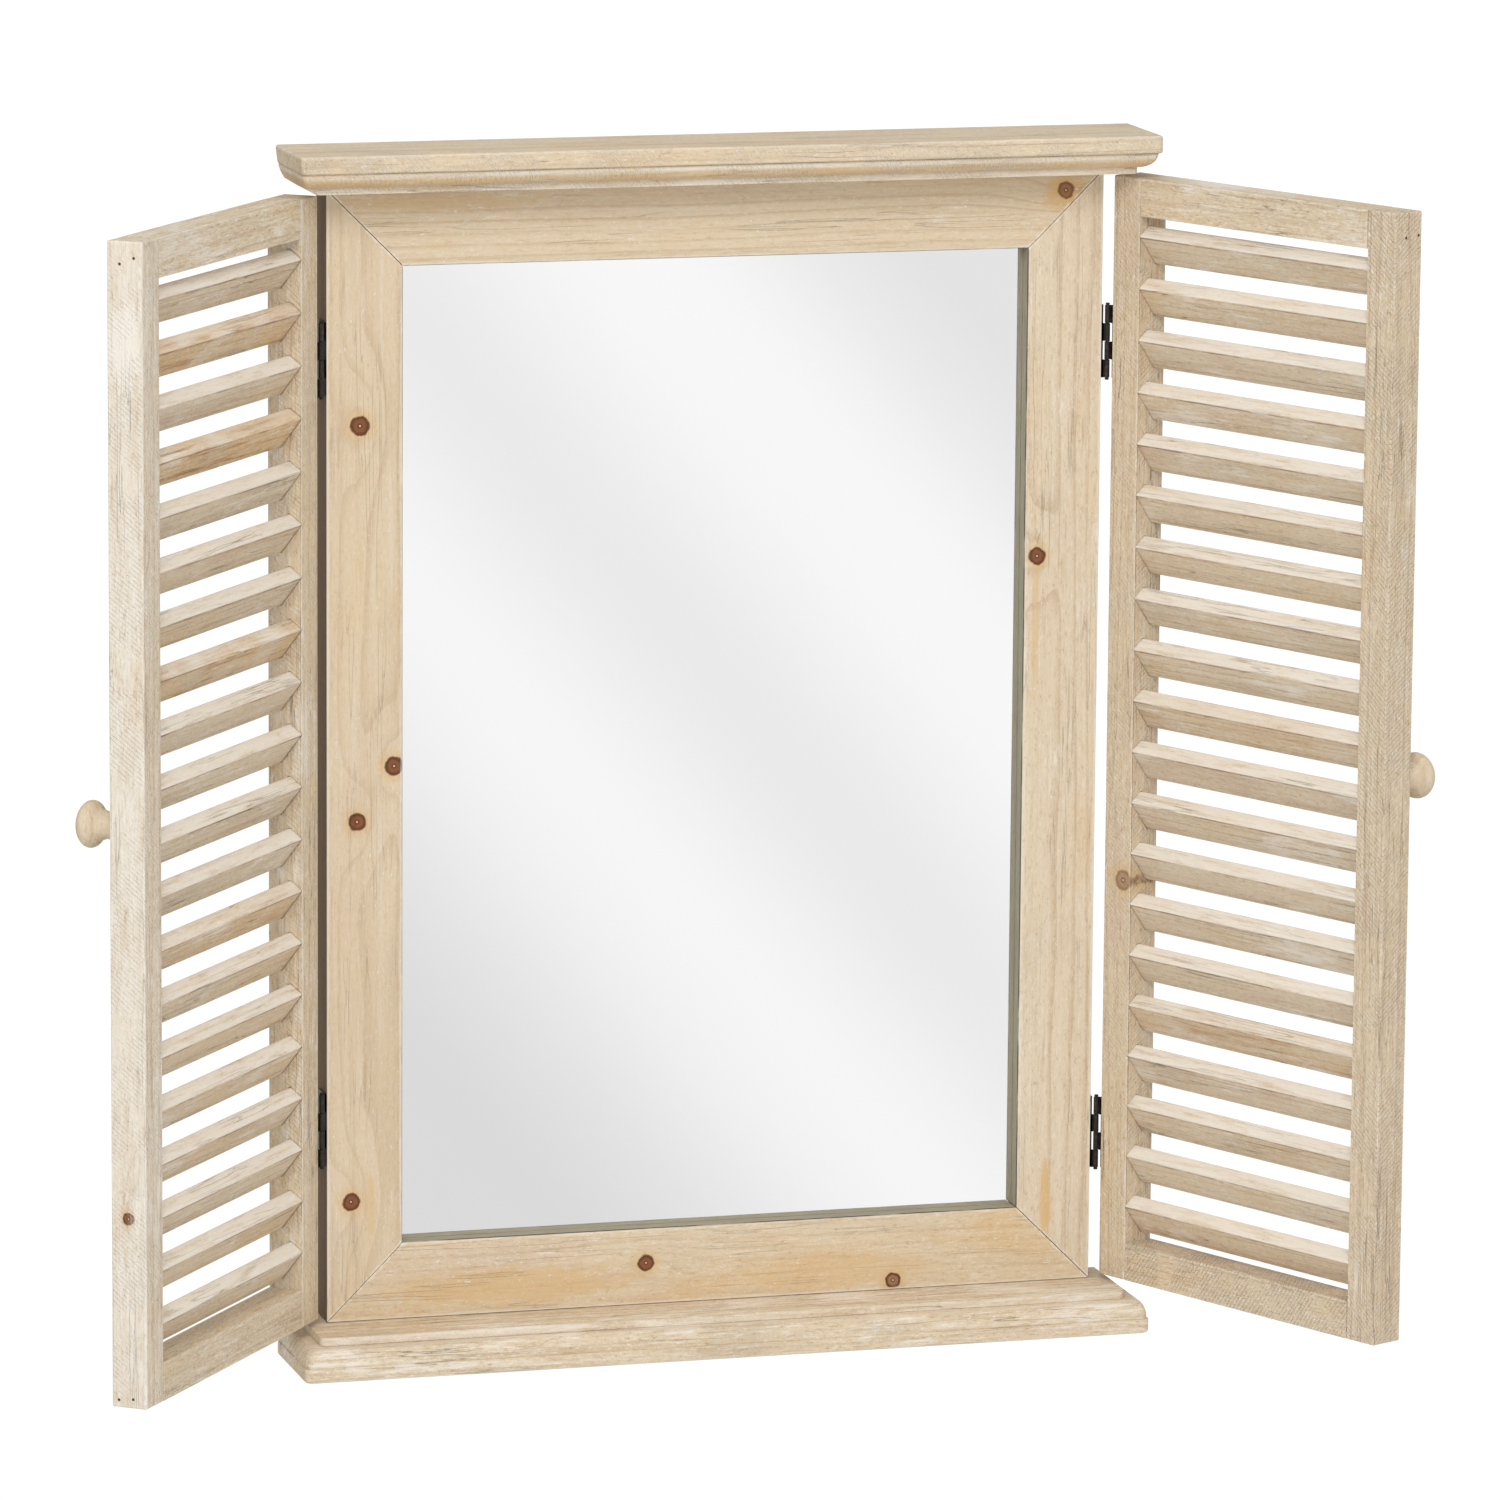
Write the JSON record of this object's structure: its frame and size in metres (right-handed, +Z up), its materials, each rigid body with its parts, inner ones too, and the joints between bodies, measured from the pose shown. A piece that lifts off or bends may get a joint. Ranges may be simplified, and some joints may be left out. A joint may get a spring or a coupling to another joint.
{
  "type": "shutter mirror",
  "caption": "Wall mirror in a mitred limed-pine frame with a moulded cornice and sill, closed off by two hinged louvred shutters with turned knobs.",
  "frame": {"origin": "on the wall plane, at the middle of the back of the frame's top member, 20 mm below the top of the frame", "axes": "+Z up, +Y into the wall, -Y out into the room, +X to the right for someone who faces the mirror"},
  "size_m": [0.6983, 0.211, 0.6304],
  "materials": {
    "limed_pine": "knotty pine with a thin, worn lime wash, matt",
    "slat_pine": "pine slats with a thin, worn lime wash, matt",
    "dark_bronze": "blackened bronze, satin",
    "silvered_glass": "silvered on the back, polished",
    "hardboard": "plain brown hardboard"
  },
  "bodies": {
    "frame": {"frame_top_member": "limed_pine", "frame_bottom_member": "limed_pine", "frame_left_member": "limed_pine", "frame_right_member": "limed_pine", "cornice": "limed_pine", "sill": "limed_pine", "mirror_glass": "silvered_glass", "backing_board": "hardboard", "left_frame_upper_hinge_leaf": "dark_bronze", "left_frame_lower_hinge_leaf": "dark_bronze", "right_frame_upper_hinge_leaf": "dark_bronze", "right_frame_lower_hinge_leaf": "dark_bronze"},
    "left_shutter": {"left_shutter_hinge_stile": "limed_pine", "left_shutter_free_stile": "limed_pine", "left_shutter_top_rail": "limed_pine", "left_shutter_bottom_rail": "limed_pine", "left_shutter_knob": "limed_pine", "left_shutter_upper_hinge_leaf": "dark_bronze", "left_shutter_lower_hinge_leaf": "dark_bronze", "left_shutter_slat_01": "slat_pine", "left_shutter_slat_02": "slat_pine", "left_shutter_slat_03": "slat_pine", "left_shutter_slat_04": "slat_pine", "left_shutter_slat_05": "slat_pine", "left_shutter_slat_06": "slat_pine", "left_shutter_slat_07": "slat_pine", "left_shutter_slat_08": "slat_pine", "left_shutter_slat_09": "slat_pine", "left_shutter_slat_10": "slat_pine", "left_shutter_slat_11": "slat_pine", "left_shutter_slat_12": "slat_pine", "left_shutter_slat_13": "slat_pine", "left_shutter_slat_14": "slat_pine", "left_shutter_slat_15": "slat_pine", "left_shutter_slat_16": "slat_pine", "left_shutter_lower_slats": "slat_pine"},
    "right_shutter": {"right_shutter_hinge_stile": "limed_pine", "right_shutter_free_stile": "limed_pine", "right_shutter_top_rail": "limed_pine", "right_shutter_bottom_rail": "limed_pine", "right_shutter_knob": "limed_pine", "right_shutter_upper_hinge_leaf": "dark_bronze", "right_shutter_lower_hinge_leaf": "dark_bronze", "right_shutter_slat_01": "slat_pine", "right_shutter_slat_02": "slat_pine", "right_shutter_slat_03": "slat_pine", "right_shutter_slat_04": "slat_pine", "right_shutter_slat_05": "slat_pine", "right_shutter_slat_06": "slat_pine", "right_shutter_slat_07": "slat_pine", "right_shutter_slat_08": "slat_pine", "right_shutter_slat_09": "slat_pine", "right_shutter_slat_10": "slat_pine", "right_shutter_slat_11": "slat_pine", "right_shutter_slat_12": "slat_pine", "right_shutter_slat_13": "slat_pine", "right_shutter_slat_14": "slat_pine", "right_shutter_slat_15": "slat_pine", "right_shutter_slat_16": "slat_pine", "right_shutter_lower_slats": "slat_pine"}
  },
  "joints": [
    {"name": "left_shutter_hinge", "type": "hinge", "parent": "frame", "child": "left_shutter", "pos_m": [-0.209, -0.0234, 0], "axis": [0, 0, -1], "range_deg": [-127.6, 47.4]},
    {"name": "right_shutter_hinge", "type": "hinge", "parent": "frame", "child": "right_shutter", "pos_m": [0.209, -0.0234, 0], "axis": [0, 0, 1], "range_deg": [-115.5, 59.5]}
  ]
}
